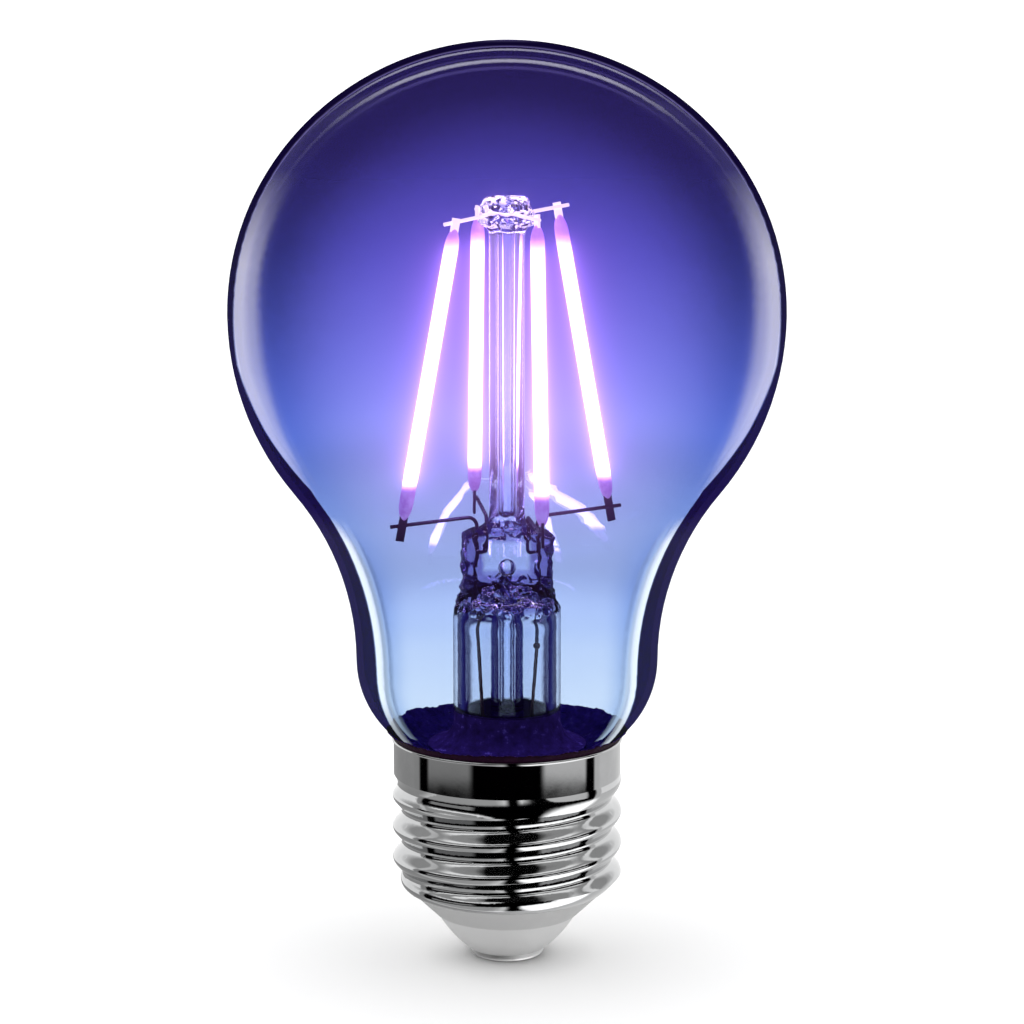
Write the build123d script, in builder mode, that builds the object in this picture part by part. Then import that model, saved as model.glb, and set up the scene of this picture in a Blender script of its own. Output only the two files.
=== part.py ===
from build123d import *
import os
from math import acos, atan2, cos, degrees, radians, sin, sqrt

# A screw-cap filament lamp: a tinted glass globe sealed to a pressed glass stem that carries four LED
# filaments, on a metal cap with a rolled thread and its driver board inside.
# Millimetres, +Z up along the lamp's axis, the origin in the middle of the centre contact's face.

# Centre contact and insulator
contact_diameter = 8.4
contact_thickness = 0.9
contact_edge_round = 0.4
contact_pin_diameter = 2.2
contact_pin_stand = 0.4
pin_clearance = 0.05
insulator_height = 6.95
insulator_floor = 2.2
band_diameter = 16.2
band_height = 4.2
band_step = 0.2
cup_diameter = 9.2
cup_bulge = 0.25
cavity_floor_diameter = 7.0
sleeve_height = 4.0
sleeve_wall = 1.4
sleeve_clearance = 0.05

# Screw shell
thread_major_diameter = 26.2
thread_depth = 1.05
thread_pitch = 3.629
thread_turns = 2.65
thread_run_out = 2.1
shell_wall = 0.3
foot_step = 1.95
foot_taper = 1.87
foot_fade = 0.7
run_out_fade = 0.5
collar_step = 0.15
collar_length = 4.26
lip_radius = 0.22

# Globe, with its heights measured up from the collar's rim
globe_diameter = 62.0
globe_crown = 30.1
equator_rise = 48.0
neck_step = 4.45
neck_rise = 9.0
glass_wall = 0.8
rim_clearance = 0.1
seal_diameter = 18.0
cement_recess = 0.3
cement_depth = 1.2
cement_bore = 10.8

# Stem, with its heights measured up from the collar's rim
flare_diameter = 12.2
flare_wall = 1.35
flare_height = 13.8
shoulder_height = 3.0
press_width = 10.1
press_thickness = 4.6
press_corner_round = 1.9
press_height = 7.0
press_top_round = 0.9
dome_height = 1.6
exhaust_diameter = 3.7
exhaust_wall = 1.25
exhaust_tip_drop = 7.2
exhaust_tip_length = 2.4
exhaust_tip_bore = 0.8
exhaust_socket = 1.4
blow_hole_diameter = 2.0
blow_hole_rise = 2.9
arbor_diameter = 4.0
arbor_bore = 1.4
arbor_floor = 1.4
arbor_socket = 1.5
bead_diameter = 6.2
bead_top_diameter = 5.2
bead_height = 3.5
bead_shoulder = 2.2
bead_round = 0.7

# Wire frame and filaments
wire_diameter = 0.42
wire_tail = 0.8
wire_bend = 1.1
bridge_bend = 0.5
bridge_core_radius = 1.8
bridge_height = 1.5
lead_spread = 3.4
branch_spread = 2.3
branch_weld_depth = 2.6
weld_bend = 0.4
lead_rise = 1.4
lower_joint_radius = 12.3
lower_turn = 16.4
upper_joint_radius = 6.5
upper_turn = 27.0
filament_diameter = 1.6
filament_length = 32.8
filament_end_round = 2.2
tab_gap = 0.815
tab_width = 0.9
tab_thickness = 0.3
tab_embed = 1.2
upper_tab_tail = 0.5
lower_tab_tail = 1.7

# Driver
board_thickness = 1.0
board_height = 9.4
slot_depth = 0.7
slot_clearance = 0.1
slot_seat = 0.6
outer_lead_diameter = 0.4
outer_lead_spread = 2.6
outer_lead_solder = 2.0
outer_lead_bend = 3.0
knot_diameter = 0.85
knot_overlap = 0.25
left_knot_drop = 0.4
right_knot_drop = 3.2
capacitor_diameter = 5.0
capacitor_height = 6.0
capacitor_round = 0.5
capacitor_spread = 2.45
rectifier_width = 4.7
rectifier_height = 3.8
rectifier_depth = 2.5
chip_width = 3.9
chip_height = 4.9
chip_depth = 1.5
package_round = 0.25
foot_width = 0.45
foot_length = 1.0
foot_thickness = 0.25
rectifier_feet = 2
chip_feet = 4
package_spread = 4.9
package_drop = 4.3
fuse_diameter = 2.0
fuse_length = 3.2
fuse_round = 0.5
fuse_lead_diameter = 0.5
fuse_solder = 2.2
shell_lead_diameter = 0.6
shell_lead_spread = 6.2
shell_lead_solder = 3.0
shell_lead_bend = 1.5
shell_lead_rise = 0.5
shell_lead_clearance = 0.05

# Heights of the cap, stacked up from the contact's face
shell_foot = contact_thickness + insulator_height
insulator_inside = contact_thickness + insulator_floor
thread_foot = shell_foot + foot_taper
thread_top = thread_foot + thread_turns * thread_pitch
collar_foot = thread_top + thread_run_out
rim = collar_foot + collar_length

# Heights of the glass, stacked up from the rim
neck = rim + neck_rise
equator = rim + equator_rise
crown = equator + globe_crown
shoulder = rim + flare_height
press_foot = shoulder + shoulder_height
press_top = press_foot + press_height
exhaust_top = shoulder + dome_height + exhaust_socket
lead_height = press_top + lead_rise

# Heights of the bead and its wires, as far above the lower wires as the filaments need
joint_turn = radians(upper_turn - lower_turn)
joint_reach = lower_joint_radius - upper_joint_radius * cos(joint_turn)
joint_offset = upper_joint_radius * sin(joint_turn)
strip_length = filament_length + 2 * tab_gap
bridge_level = lead_height + sqrt(strip_length**2 - joint_reach**2 - joint_offset**2)
bead_foot = bridge_level - bridge_height

# Radii shared by pieces that fit each other
globe_radius = globe_diameter / 2
seal_radius = seal_diameter / 2
flare_radius = flare_diameter / 2
flare_bore = flare_radius - flare_wall
collar_radius = thread_major_diameter / 2 - collar_step
collar_inside = collar_radius - shell_wall
neck_radius = collar_inside + neck_step
foot_radius = thread_major_diameter / 2 - foot_step
foot_inside = foot_radius - shell_wall
sleeve_radius = foot_inside - sleeve_clearance
sleeve_inside = sleeve_radius - sleeve_wall
exhaust_bore = exhaust_diameter / 2 - exhaust_wall

os.makedirs("parts", exist_ok=True)


def polar(radius, turn, height):
    """A point at a radius and a turn in degrees round the lamp's axis."""
    return Vector(radius * cos(radians(turn)), radius * sin(radians(turn)), height)


def dome(radius, level, rise):
    """A quarter oval drawn in the open BuildLine, from a radius at a level to the axis above or below it."""
    handle = 0.5523
    top = level + rise
    Bezier((radius, level), (radius, level + handle * rise), (handle * radius, top), (0, top))


# Globe: crown, ball, hollow shoulder, neck and the bowl that turns in under the rim.
# The shoulder's arc is tangent to the ball and upright at the neck, and the bowl's arc is upright at the neck
# and clears the inside of the rim.
neck_drop = equator - neck
neck_in = globe_radius - neck_radius
shoulder_radius = (neck_drop**2 + neck_radius**2 - globe_radius**2) / (2 * neck_in)
shoulder_centre = neck_radius + shoulder_radius
shoulder_turn = degrees(atan2(neck_drop, shoulder_centre))
bowl_in = neck_radius - (collar_inside - rim_clearance)
bowl_radius = (bowl_in**2 + neck_rise**2) / (2 * bowl_in)
bowl_centre = neck_radius - bowl_radius


def bowl_turn(radius, arc_radius):
    """How far round from the neck, in degrees, an arc of the bowl has come at a radius from the axis."""
    return degrees(acos((radius - bowl_centre) / arc_radius))


def bowl_level(radius, arc_radius):
    """The height of an arc of the bowl at a radius from the axis."""
    return neck - arc_radius * sin(radians(bowl_turn(radius, arc_radius)))


def globe_outline(inset):
    """One face of the globe's wall, from the crown down to the seal, drawn in the open BuildLine."""
    dome(globe_radius - inset, equator, globe_crown - inset)
    CenterArc((0, equator), globe_radius - inset, -shoulder_turn, shoulder_turn)
    CenterArc((shoulder_centre, neck), shoulder_radius + inset, 180 - shoulder_turn, shoulder_turn)
    CenterArc((bowl_centre, neck), bowl_radius - inset, 0, -bowl_turn(seal_radius, bowl_radius - inset))


seal_outside = bowl_level(seal_radius, bowl_radius)
seal_inside = bowl_level(seal_radius, bowl_radius - glass_wall)

with BuildPart() as globe:
    with BuildSketch(Plane.XZ):
        with BuildLine():
            globe_outline(0)
            globe_outline(glass_wall)
            Line((0, crown), (0, crown - glass_wall))
            Line((seal_radius, seal_outside), (seal_radius, seal_inside))
        make_face()
    revolve(axis=Axis.Z)
globe.part.label = "globe"
export_step(globe.part, "parts/globe.step")

# Basing cement between the bowl and the collar, and in under the seal
cement_foot = seal_outside - cement_depth
cement_top = rim - cement_recess
cement_inside = cement_bore / 2
cement_glass_top = bowl_centre + sqrt(bowl_radius**2 - (neck - cement_top) ** 2)
cement_start = bowl_turn(cement_glass_top, bowl_radius)
cement_end = bowl_turn(seal_radius, bowl_radius)

with BuildPart() as cement_ring:
    with BuildSketch(Plane.XZ):
        with BuildLine():
            CenterArc((bowl_centre, neck), bowl_radius, -cement_start, cement_start - cement_end)
            Polyline(
                (seal_radius, seal_outside),
                (cement_inside, seal_outside),
                (cement_inside, cement_foot),
                (collar_inside, cement_foot),
                (collar_inside, cement_top),
                (cement_glass_top, cement_top),
            )
        make_face()
    revolve(axis=Axis.Z)
cement_ring.part.label = "cement_ring"
export_step(cement_ring.part, "parts/cement_ring.step")

# Screw shell. A rolled round thread is a circle at every height, with its centre carried round the axis,
# so a disc swept flat up a narrow helix is the thread. Lofts fade it into the foot and the collar.
thread_radius = (thread_major_diameter - thread_depth) / 2
thread_offset = thread_depth / 2


def thread_plane(height, depth):
    """The level plane at a height, centred on the thread's disc there, for a share of the full depth."""
    turn = 360 * (height - thread_foot) / thread_pitch
    return Plane(polar(depth * thread_offset, turn, height))


def threaded_body(inset):
    """The solid inside the shell from its foot to its collar, smaller all round by the inset."""
    foot_middle = (shell_foot + thread_foot) / 2
    foot_middle_radius = foot_radius + foot_fade * (thread_radius - foot_radius)
    run_out_middle = (thread_top + collar_foot) / 2
    run_out_radius = collar_radius + run_out_fade * (thread_radius - collar_radius)
    with BuildPart() as body:
        with BuildLine():
            Helix(thread_pitch, thread_turns * thread_pitch, thread_offset, (0, 0, thread_foot))
        with BuildSketch(thread_plane(thread_foot, 1)):
            Circle(thread_radius - inset)
        sweep(normal=(0, 0, 1))
        with BuildSketch(Plane.XY.offset(shell_foot)):
            Circle(foot_radius - inset)
        with BuildSketch(thread_plane(foot_middle, foot_fade)):
            Circle(foot_middle_radius - inset)
        with BuildSketch(thread_plane(thread_foot, 1)):
            Circle(thread_radius - inset)
        loft()
        with BuildSketch(thread_plane(thread_top, 1)):
            Circle(thread_radius - inset)
        with BuildSketch(thread_plane(run_out_middle, run_out_fade)):
            Circle(run_out_radius - inset)
        with BuildSketch(Plane.XY.offset(collar_foot)):
            Circle(collar_radius - inset)
        loft()
    return body.part


with BuildPart() as screw_shell:
    add(threaded_body(0))
    add(threaded_body(shell_wall), mode=Mode.SUBTRACT)
    with BuildSketch(Plane.XZ):
        with BuildLine():
            lip_foot = rim - 2 * lip_radius
            CenterArc((collar_radius, rim - lip_radius), lip_radius, -90, 180)
            Polyline(
                (collar_radius, rim),
                (collar_inside, rim),
                (collar_inside, collar_foot),
                (collar_radius, collar_foot),
                (collar_radius, lip_foot),
            )
        make_face()
    revolve(axis=Axis.Z)
screw_shell.part.label = "screw_shell"
export_step(screw_shell.part, "parts/screw_shell.step")

# Insulator: a banded cone and cup outside, and inside a sleeve with two slots for the board
board_foot = shell_foot + slot_seat
slot_reach = sleeve_inside + slot_depth
pin_hole_radius = contact_pin_diameter / 2 + pin_clearance
band_level = contact_thickness + band_height

with BuildPart() as insulator:
    with BuildSketch(Plane.XZ):
        with BuildLine():
            SagittaArc((band_diameter / 2, band_level), (cup_diameter / 2, contact_thickness), cup_bulge)
            Polyline(
                (band_diameter / 2, band_level),
                (band_diameter / 2 + band_step, band_level),
                (foot_radius, shell_foot),
                (sleeve_radius, shell_foot),
                (sleeve_radius, shell_foot + sleeve_height),
                (sleeve_inside, shell_foot + sleeve_height),
                (sleeve_inside, shell_foot),
                (cavity_floor_diameter / 2, insulator_inside),
                (pin_hole_radius, insulator_inside),
                (pin_hole_radius, contact_thickness),
                (cup_diameter / 2, contact_thickness),
            )
        make_face()
    revolve(axis=Axis.Z)
    with BuildSketch(Plane.XY.offset(board_foot)):
        Rectangle(2 * slot_reach, board_thickness + 2 * slot_clearance)
    extrude(amount=sleeve_height, mode=Mode.SUBTRACT)
insulator.part.label = "insulator"
export_step(insulator.part, "parts/insulator.step")

# Centre contact: a flat button on a pin through the insulator's floor
pin_top = insulator_inside + contact_pin_stand

with BuildPart() as centre_contact:
    with BuildSketch():
        Circle(contact_diameter / 2)
    extrude(amount=contact_thickness)
    fillet(centre_contact.edges().group_by(Axis.Z)[0], contact_edge_round)
    with BuildSketch():
        Circle(contact_pin_diameter / 2)
    extrude(amount=pin_top)
centre_contact.part.label = "centre_contact"
export_step(centre_contact.part, "parts/centre_contact.step")

# Filament routes. Each lower wire leaves the press at its exit and runs straight through its lower joint, and
# each upper wire runs straight from the bead through its upper joint. The filament stands beside both wires.
base_turns = {"left": 180.0, "front": 270.0, "right": 0.0, "back": 90.0}
wire_exits = {"left": -lead_spread, "front": branch_spread, "right": lead_spread, "back": -branch_spread}
lower_lifts = {"left": -0.5, "front": 0.1, "right": 0.6, "back": 0.2}
upper_lifts = {"left": -0.8, "front": -0.3, "right": 0.7, "back": 0.2}
side_step = (tab_thickness + wire_diameter) / 2


class Route:
    """Where one filament, its tabs and the two wires that hold it lie."""

    def __init__(self, name):
        lower_angle = base_turns[name] + lower_turn
        upper_angle = base_turns[name] + upper_turn
        self.wire_corner = Vector(wire_exits[name], 0, lead_height)
        self.bridge_corner = polar(bridge_core_radius, upper_angle, bridge_level)
        lower_joint = polar(lower_joint_radius, lower_angle, lead_height + lower_lifts[name])
        upper_joint = polar(upper_joint_radius, upper_angle, bridge_level + upper_lifts[name])
        lower_run = (lower_joint - self.wire_corner).normalized()
        upper_run = (upper_joint - self.bridge_corner).normalized()
        self.wire_end = lower_joint + lower_run * (tab_width / 2 + wire_tail)
        self.bridge_end = upper_joint + upper_run * (tab_width / 2 + wire_tail)
        rise = (upper_joint - lower_joint).normalized()
        self.lower = lower_joint + rise.cross(lower_run).normalized() * side_step
        self.upper = upper_joint + rise.cross(upper_run).normalized() * side_step
        self.axis = (self.upper - self.lower).normalized()
        self.lower_across = self.across(lower_run)
        self.upper_across = self.across(upper_run)
        middle = (self.lower + self.upper) / 2
        self.coat_foot = middle - self.axis * (filament_length / 2)
        self.coat_top = middle + self.axis * (filament_length / 2)

    def across(self, run):
        """The wire's direction made square to the filament."""
        return (run - self.axis * run.dot(self.axis)).normalized()


routes = {name: Route(name) for name in base_turns}


def bent_wire(points, bends, diameter):
    """A round wire along straight runs joined by tangent bends."""
    with BuildPart() as wire:
        with BuildLine() as route:
            FilletPolyline(*points, radius=bends)
        with BuildSketch(Plane(route.line @ 0, z_dir=route.line % 0)):
            Circle(diameter / 2)
        sweep(path=route.line)
    return wire.part


# Wires through the bead, each holding the tops of two filaments
bridges = {"bridge_wire_front_left": ("front", "left"), "bridge_wire_back_right": ("back", "right")}
bridge_wires = []
for name, (first, second) in bridges.items():
    with BuildPart() as bridge_wire:
        corners = [routes[first].bridge_corner, routes[second].bridge_corner]
        ends = [routes[first].bridge_end, routes[second].bridge_end]
        add(bent_wire([ends[0], *corners, ends[1]], bridge_bend, wire_diameter))
    bridge_wire.part.label = name
    export_step(bridge_wire.part, f"parts/{name}.step")
    bridge_wires.append(bridge_wire.part)

# Lead-in wires through the press, each down to its weld knot in the flare
knot_levels = {"left": shoulder - left_knot_drop, "right": shoulder - right_knot_drop}
lead_wires = {}
for side, knot_level in knot_levels.items():
    with BuildPart() as lead_wire:
        lead_foot = Vector(wire_exits[side], 0, knot_level)
        add(bent_wire([lead_foot, routes[side].wire_corner, routes[side].wire_end], wire_bend, wire_diameter))
    lead_wire.part.label = f"lead_wire_{side}"
    export_step(lead_wire.part, f"parts/lead_wire_{side}.step")
    lead_wires[side] = lead_wire.part

# Branch wires, each welded in the press to the lead-in beside it
branch_leads = {"back": "left", "front": "right"}
weld_level = press_top - branch_weld_depth
branch_wires = []
for name, side in branch_leads.items():
    with BuildPart() as branch_wire:
        weld_corner = Vector(wire_exits[name], 0, weld_level)
        weld_end = Vector(wire_exits[side], 0, weld_level)
        points = [weld_end, weld_corner, routes[name].wire_corner, routes[name].wire_end]
        add(bent_wire(points, [weld_bend, wire_bend], wire_diameter))
        add(lead_wires[side], mode=Mode.SUBTRACT)
    branch_wire.part.label = f"branch_wire_{name}"
    export_step(branch_wire.part, f"parts/branch_wire_{name}.step")
    branch_wires.append(branch_wire.part)

# Filaments: a coated strip with a round section, and a flat metal tab let into each end
for name, route in routes.items():
    with BuildPart() as lower_tab:
        tab_foot = route.lower - route.axis * lower_tab_tail
        with BuildSketch(Plane(tab_foot, x_dir=route.lower_across, z_dir=route.axis)):
            Rectangle(tab_width, tab_thickness)
        extrude(amount=(route.coat_foot - tab_foot).length + tab_embed)
    lower_tab.part.label = f"lower_tab_{name}"
    export_step(lower_tab.part, f"parts/lower_tab_{name}.step")

    with BuildPart() as upper_tab:
        tab_foot = route.coat_top - route.axis * tab_embed
        with BuildSketch(Plane(tab_foot, x_dir=route.upper_across, z_dir=route.axis)):
            Rectangle(tab_width, tab_thickness)
        extrude(amount=(route.upper - tab_foot).length + upper_tab_tail)
    upper_tab.part.label = f"upper_tab_{name}"
    export_step(upper_tab.part, f"parts/upper_tab_{name}.step")

    with BuildPart() as filament:
        outward = route.lower_across.cross(route.axis)
        side_plane = Plane(route.coat_foot, x_dir=route.lower_across, z_dir=outward)
        with BuildSketch(side_plane):
            with BuildLine():
                straight_top = filament_length - filament_end_round
                dome(filament_diameter / 2, filament_end_round, -filament_end_round)
                Line((filament_diameter / 2, filament_end_round), (filament_diameter / 2, straight_top))
                dome(filament_diameter / 2, straight_top, filament_end_round)
                Line((0, filament_length), (0, 0))
            make_face()
        revolve(axis=Axis(route.coat_foot, route.axis))
        add(lower_tab.part, mode=Mode.SUBTRACT)
        add(upper_tab.part, mode=Mode.SUBTRACT)
    filament.part.label = f"filament_{name}"
    export_step(filament.part, f"parts/filament_{name}.step")

# Arbor: a glass tube up from the press, gathered into a bead round the upper wires
arbor_foot = press_top - arbor_socket
bead_level = bead_foot + bead_shoulder
bead_top = bead_foot + bead_height
bore_foot = press_top + arbor_floor

with BuildPart() as arbor:
    with BuildSketch(Plane.XZ):
        with BuildLine():
            Polyline(
                (0, arbor_foot),
                (arbor_diameter / 2, arbor_foot),
                (arbor_diameter / 2, bead_foot),
                (bead_diameter / 2, bead_foot),
                (bead_diameter / 2, bead_level),
                (bead_top_diameter / 2, bead_top),
                (0, bead_top),
                close=True,
            )
        outline = make_face()
        bead_rim = outline.vertices().group_by(Axis.X)[-1]
        bead_crown = outline.vertices().sort_by(Axis.Y)[-2:].sort_by(Axis.X)[-1:]
        fillet(bead_rim + bead_crown, bead_round)
    revolve(axis=Axis.Z)
    with BuildSketch(Plane.XY.offset(bore_foot)):
        Circle(arbor_bore / 2)
    extrude(amount=bead_level - bore_foot, mode=Mode.SUBTRACT)
    add(bridge_wires, mode=Mode.SUBTRACT)
arbor.part.label = "arbor"
export_step(arbor.part, "parts/arbor.step")

# Exhaust tube: open into the press at its top, and melted to a closed tip in the cap
exhaust_tip = rim - exhaust_tip_drop
exhaust_straight = exhaust_tip + exhaust_tip_length

with BuildPart() as exhaust_tube:
    with BuildSketch(Plane.XZ):
        with BuildLine():
            dome(exhaust_diameter / 2, exhaust_straight, -exhaust_tip_length)
            dome(exhaust_bore, exhaust_straight, -exhaust_tip_bore)
            Line((0, exhaust_tip), (0, exhaust_straight - exhaust_tip_bore))
            Polyline(
                (exhaust_diameter / 2, exhaust_straight),
                (exhaust_diameter / 2, exhaust_top),
                (exhaust_bore, exhaust_top),
                (exhaust_bore, exhaust_straight),
            )
        make_face()
    revolve(axis=Axis.Z)
exhaust_tube.part.label = "exhaust_tube"
export_step(exhaust_tube.part, "parts/exhaust_tube.step")

# Stem: a flared tube sealed to the globe, drawn in at its shoulder and pinched flat round the wires
bell_outside = seal_radius - flare_radius
bell_inside = seal_radius - flare_bore
blow_hole_level = exhaust_top + blow_hole_rise

with BuildPart() as stem:
    with BuildSketch(Plane.XZ):
        with BuildLine():
            CenterArc((seal_radius, seal_inside + bell_outside), bell_outside, 180, 90)
            Line((seal_radius, seal_inside), (seal_radius, seal_outside))
            CenterArc((seal_radius, seal_outside + bell_inside), bell_inside, 180, 90)
            Polyline(
                (flare_bore, seal_outside + bell_inside),
                (flare_bore, shoulder),
                (flare_radius, shoulder),
                (flare_radius, seal_inside + bell_outside),
            )
        make_face()
    revolve(axis=Axis.Z)
    with BuildSketch(Plane.XY.offset(shoulder)):
        Circle(flare_radius)
    with BuildSketch(Plane.XY.offset(press_foot)):
        RectangleRounded(press_width, press_thickness, press_corner_round)
    loft()
    with BuildSketch(Plane.XY.offset(press_foot)):
        RectangleRounded(press_width, press_thickness, press_corner_round)
    extrude(amount=press_height)
    fillet(stem.faces().sort_by(Axis.Z)[-1].edges(), press_top_round)
    with BuildSketch(Plane.XZ):
        with BuildLine():
            dome(flare_bore, shoulder, dome_height)
            Polyline((0, shoulder + dome_height), (0, shoulder), (flare_bore, shoulder))
        make_face()
    revolve(axis=Axis.Z, mode=Mode.SUBTRACT)
    with BuildSketch(Plane.XY.offset(shoulder)):
        Circle(exhaust_diameter / 2)
    extrude(amount=exhaust_top - shoulder, mode=Mode.SUBTRACT)
    with BuildSketch(Plane.XY.offset(exhaust_top)):
        Circle(exhaust_bore)
    extrude(amount=blow_hole_rise, mode=Mode.SUBTRACT)
    with BuildSketch(Plane.XZ):
        with Locations((0, blow_hole_level)):
            Circle(blow_hole_diameter / 2)
    extrude(amount=press_thickness, mode=Mode.SUBTRACT)
    with BuildSketch(Plane.XY.offset(arbor_foot)):
        Circle(arbor_diameter / 2)
    extrude(amount=arbor_socket, mode=Mode.SUBTRACT)
    add(list(lead_wires.values()) + branch_wires, mode=Mode.SUBTRACT)
stem.part.label = "stem"
export_step(stem.part, "parts/stem.step")

# Driver board, standing in the sleeve's slots
board_top = board_foot + board_height
board_face = board_thickness / 2

with BuildPart() as driver_board:
    with BuildSketch(Plane.XY.offset(board_foot)):
        Rectangle(2 * (slot_reach - slot_clearance), board_thickness)
    extrude(amount=board_height)
driver_board.part.label = "driver_board"
export_step(driver_board.part, "parts/driver_board.step")

# Outer leads: from a weld knot on each lead-in, past the exhaust tube, to the front face of the board
for side, knot_level in knot_levels.items():
    with BuildPart() as outer_lead:
        spread = outer_lead_spread if wire_exits[side] > 0 else -outer_lead_spread
        beside_board = -board_face - outer_lead_diameter / 2
        knot = Vector(wire_exits[side], 0, knot_level - knot_diameter / 2 + knot_overlap)
        points = [knot, (spread, beside_board, rim), (spread, beside_board, board_top - outer_lead_solder)]
        add(bent_wire(points, outer_lead_bend, outer_lead_diameter))
        with Locations(knot):
            Sphere(knot_diameter / 2)
        add(lead_wires[side], mode=Mode.SUBTRACT)
    outer_lead.part.label = f"outer_lead_{side}"
    export_step(outer_lead.part, f"parts/outer_lead_{side}.step")

# Shell lead: from the back face of the board up and out to the inside of the collar
shell_lead_level = collar_foot + shell_lead_rise
behind_board = board_face + shell_lead_diameter / 2
shell_lead_reach = sqrt(collar_inside**2 - behind_board**2) - shell_lead_clearance

with BuildPart() as shell_lead:
    points = [
        (shell_lead_spread, behind_board, board_top - shell_lead_solder),
        (shell_lead_spread, behind_board, shell_lead_level),
        (shell_lead_reach, behind_board, shell_lead_level),
    ]
    add(bent_wire(points, shell_lead_bend, shell_lead_diameter))
shell_lead.part.label = "shell_lead"
export_step(shell_lead.part, "parts/shell_lead.step")

# Smoothing capacitor, standing on the back face of the board
package_level = board_top - package_drop

with BuildPart() as smoothing_capacitor:
    with BuildSketch(Plane(origin=(-capacitor_spread, board_face, package_level), z_dir=(0, 1, 0))):
        Circle(capacitor_diameter / 2)
    extrude(amount=capacitor_height)
    fillet(smoothing_capacitor.edges().sort_by(Axis.Y)[-1], capacitor_round)
smoothing_capacitor.part.label = "smoothing_capacitor"
export_step(smoothing_capacitor.part, "parts/smoothing_capacitor.step")


def package(place, width, height, depth, feet):
    """A moulded package on the front face of the board, with a row of flat feet above and below it."""
    face = Plane(origin=(place, -board_face, package_level), x_dir=(1, 0, 0), z_dir=(0, -1, 0))
    with BuildPart() as body:
        with BuildSketch(face):
            Rectangle(width, height)
        extrude(amount=depth)
        fillet(body.faces().sort_by(Axis.Y)[0].edges(), package_round)
        with BuildSketch(face):
            with GridLocations(width / feet, height + foot_length, feet, 2):
                Rectangle(foot_width, foot_length)
        extrude(amount=foot_thickness)
    return body.part


with BuildPart() as bridge_rectifier:
    add(package(-package_spread, rectifier_width, rectifier_height, rectifier_depth, rectifier_feet))
bridge_rectifier.part.label = "bridge_rectifier"
export_step(bridge_rectifier.part, "parts/bridge_rectifier.step")

with BuildPart() as driver_chip:
    add(package(package_spread, chip_width, chip_height, chip_depth, chip_feet))
driver_chip.part.label = "driver_chip"
export_step(driver_chip.part, "parts/driver_chip.step")

# Fuse resistor: between the contact's pin and the board, with its upper lead soldered to the board
fuse_line = -board_face - fuse_lead_diameter / 2
fuse_foot = (pin_top + board_foot - fuse_length) / 2

with BuildPart() as fuse_resistor:
    with BuildSketch(Plane((0, fuse_line, fuse_foot))):
        Circle(fuse_diameter / 2)
    extrude(amount=fuse_length)
    fillet(fuse_resistor.edges().filter_by(GeomType.CIRCLE), fuse_round)
    with BuildSketch(Plane((0, fuse_line, pin_top))):
        Circle(fuse_lead_diameter / 2)
    extrude(amount=board_foot + fuse_solder - pin_top)
fuse_resistor.part.label = "fuse_resistor"
export_step(fuse_resistor.part, "parts/fuse_resistor.step")
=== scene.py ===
from math import cos, pi, radians, sin, sqrt

import bmesh
import bpy
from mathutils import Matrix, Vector, noise

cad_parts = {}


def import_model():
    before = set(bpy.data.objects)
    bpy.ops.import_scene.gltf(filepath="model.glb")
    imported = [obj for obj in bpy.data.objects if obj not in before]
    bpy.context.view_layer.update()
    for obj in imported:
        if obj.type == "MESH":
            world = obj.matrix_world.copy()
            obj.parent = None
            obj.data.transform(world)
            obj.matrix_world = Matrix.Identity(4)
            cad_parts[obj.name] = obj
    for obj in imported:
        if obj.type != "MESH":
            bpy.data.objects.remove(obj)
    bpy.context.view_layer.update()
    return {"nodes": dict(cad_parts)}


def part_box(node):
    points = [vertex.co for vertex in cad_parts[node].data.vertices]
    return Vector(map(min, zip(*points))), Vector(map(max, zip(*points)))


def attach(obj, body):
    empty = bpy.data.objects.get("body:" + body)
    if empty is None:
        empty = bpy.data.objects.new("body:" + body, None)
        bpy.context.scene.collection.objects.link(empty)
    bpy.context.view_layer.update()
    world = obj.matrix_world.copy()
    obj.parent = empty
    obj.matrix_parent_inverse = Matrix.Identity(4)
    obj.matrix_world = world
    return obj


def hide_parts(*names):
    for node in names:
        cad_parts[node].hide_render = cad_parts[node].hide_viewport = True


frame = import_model()
nodes = frame["nodes"]
MM = 0.001

# Camera: looks along +Y and a little down
IMAGE_PIXELS = 1024
SENSOR = 36.0
FOCAL_PIXELS = 2600
CAMERA_PITCH = radians(9.0)
CAMERA_DISTANCE = 293 * MM
AIM_HEIGHT = 51.4 * MM
AXIS_PIXEL = 507.0

# Glass stem, in millimetres
SEAL_RADIUS = 9.0
SEAL_INSIDE = 24.79
SEAL_OUTSIDE = 23.956
BELL_OUTER_ROUND = 2.9
BELL_INNER_ROUND = 4.25
TUBE_RADIUS = 6.1
BORE_RADIUS = 4.75
BORE_END = 39.6
EXHAUST_RADIUS = 1.85
EXHAUST_BORE = 0.6
EXHAUST_STRAIGHT = 20.9
EXHAUST_TIP = 18.5
BLOW_HOLE_HEIGHT = 45.4
BLOW_HOLE_RADIUS = 1.0
PRESS_WIDTH = 10.1
PRESS_DEPTH = 4.6
PRESS_FOOT = 42.5
PRESS_TOP = 49.5
ARBOR_RADIUS = 2.0
ARBOR_BORE = 0.7
ARBOR_BORE_FOOT = 50.9
ARBOR_BORE_TOP = 85.5
BEAD_FOOT = 83.3
BEAD_TOP = 86.8
BEAD_FOOT_RADIUS = 3.1
BEAD_TOP_RADIUS = 2.6
WINDOW_HALF_WIDTH = 2.3
WINDOW_FOOT = 44.6
WINDOW_TOP = 48.3

# Glass bowl and cement, in millimetres
BOWL_CENTRE = 5.924
BOWL_RADIUS = 11.176
NECK = 34.7

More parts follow.
